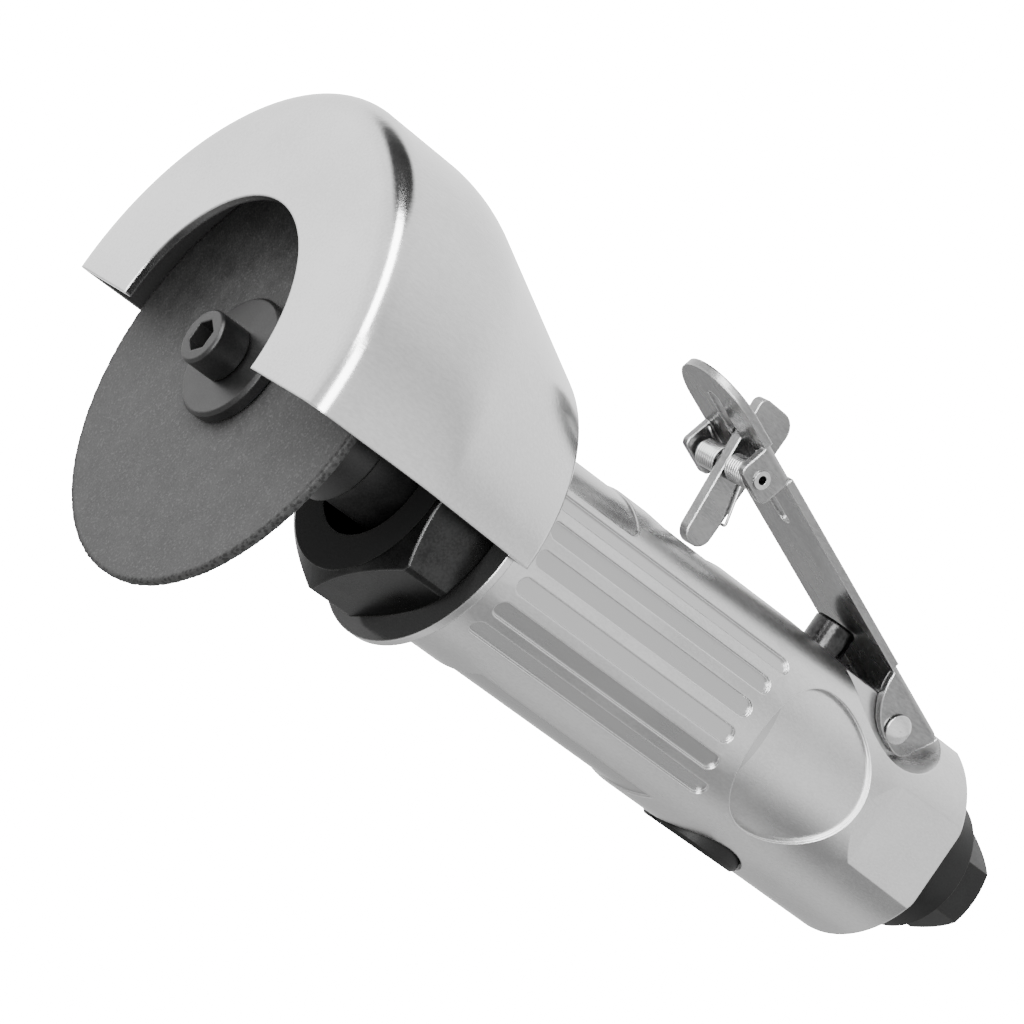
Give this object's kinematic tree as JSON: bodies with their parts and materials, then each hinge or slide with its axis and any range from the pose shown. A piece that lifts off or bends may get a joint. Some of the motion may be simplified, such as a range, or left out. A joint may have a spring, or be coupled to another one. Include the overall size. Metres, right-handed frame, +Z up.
{
  "type": "pneumatic cut-off tool",
  "caption": "Straight air-driven cut-off tool: fluted barrel, half-round wheel guard, abrasive wheel, lever throttle with folding safety latch, air regulator and threaded inlet.",
  "frame": {"origin": "centre of the air inlet's mouth, on the spindle axis", "axes": "+X out of the air inlet, rearward along the spindle axis; +Z up, on the lever's side; the wheel is at -X"},
  "size_m": [0.1956, 0.088, 0.0858],
  "materials": {
    "housing_alloy": "satin plated die casting",
    "guard_steel": "satin plated pressing",
    "black_steel": "black oxide",
    "motor_iron": "ground",
    "bright_steel": "bright turned",
    "bearing_steel": "polished",
    "rotor_steel": "ground",
    "vane_laminate": "woven phenolic laminate",
    "abrasive": "resin-bonded abrasive grit",
    "plated_sheet": "bright plated steel sheet",
    "spring_steel": "drawn wire",
    "rubber": "moulded",
    "brass": "turned",
    "valve_plastic": "moulded",
    "black_plastic": "moulded"
  },
  "bodies": {
    "housing": {"housing": "housing_alloy", "clamp_nut": "black_steel", "front_end_plate": "motor_iron", "rear_end_plate": "motor_iron", "cylinder_liner": "motor_iron", "cylinder_dowel": "bright_steel", "front_bearing_outer": "bearing_steel", "rear_bearing_outer": "bearing_steel", "lever_pin": "bright_steel", "valve_bush": "brass", "valve_spring": "spring_steel", "regulator_pin": "bright_steel", "exhaust_collar": "black_plastic", "inlet_bush": "black_steel", "inlet_screen": "bright_steel"},
    "guard": {"wheel_guard": "guard_steel"},
    "spindle": {"rotor": "rotor_steel", "rotor_vanes": "vane_laminate", "front_bearing_inner": "bearing_steel", "rear_bearing_inner": "bearing_steel", "drive_hub": "black_steel", "cutting_wheel": "abrasive", "outer_flange": "black_steel", "wheel_screw": "black_steel"},
    "front_cage": {"front_bearing_balls": "bearing_steel", "front_bearing_cage": "brass"},
    "rear_cage": {"rear_bearing_balls": "bearing_steel", "rear_bearing_cage": "brass"},
    "lever": {"throttle_lever": "plated_sheet", "latch_pin_tube": "bright_steel", "latch_spring": "spring_steel"},
    "latch": {"safety_latch": "plated_sheet"},
    "plunger": {"valve_plunger": "bright_steel", "plunger_o_ring": "rubber", "throttle_valve": "valve_plastic"},
    "regulator": {"regulator_knob": "black_plastic", "regulator_o_ring": "rubber"}
  },
  "joints": [
    {"name": "spindle_spin", "type": "hinge", "parent": "housing", "child": "spindle", "pos_m": [-0.12, 0, 0], "axis": [1, 0, 0], "continuous": true},
    {"name": "front_cage_spin", "type": "hinge", "parent": "housing", "child": "front_cage", "pos_m": [-0.1273, 0, 0], "axis": [1, 0, 0], "continuous": true},
    {"name": "rear_cage_spin", "type": "hinge", "parent": "housing", "child": "rear_cage", "pos_m": [-0.0748, 0, 0], "axis": [1, 0, 0], "continuous": true},
    {"name": "guard_turn", "type": "hinge", "parent": "housing", "child": "guard", "pos_m": [-0.139, 0, 0], "axis": [1, 0, 0], "continuous": true},
    {"name": "lever_press", "type": "hinge", "parent": "housing", "child": "lever", "pos_m": [-0.04, 0, 0.0162], "axis": [0, -1, 0], "range_deg": [0, 6.4], "stiffness_Nm_per_rad": 2, "springref_deg": -5.73},
    {"name": "latch_fold", "type": "hinge", "parent": "lever", "child": "latch", "pos_m": [-0.09599, 0, 0.03532], "axis": [0, -1, 0], "range_deg": [0, 57.6], "deforming": ["latch_spring"]},
    {"name": "plunger_slide", "type": "slide", "parent": "housing", "child": "plunger", "axis": [0, 0, -1], "range_m": [0, 0.0018], "deforming": ["valve_spring"]},
    {"name": "regulator_turn", "type": "hinge", "parent": "housing", "child": "regulator", "pos_m": [-0.0569, 0, -0.0178], "axis": [0, 0, 1], "range_deg": [0, 90]}
  ],
  "couplings": [
    {"joint": "front_cage_spin", "follows": "spindle_spin", "ratio": 0.371},
    {"joint": "rear_cage_spin", "follows": "spindle_spin", "ratio": 0.365},
    {"joint": "latch_fold", "follows": "lever_press", "ratio": 9},
    {"joint": "plunger_slide", "follows": "lever_press", "m_per_rad": 0.0143}
  ]
}
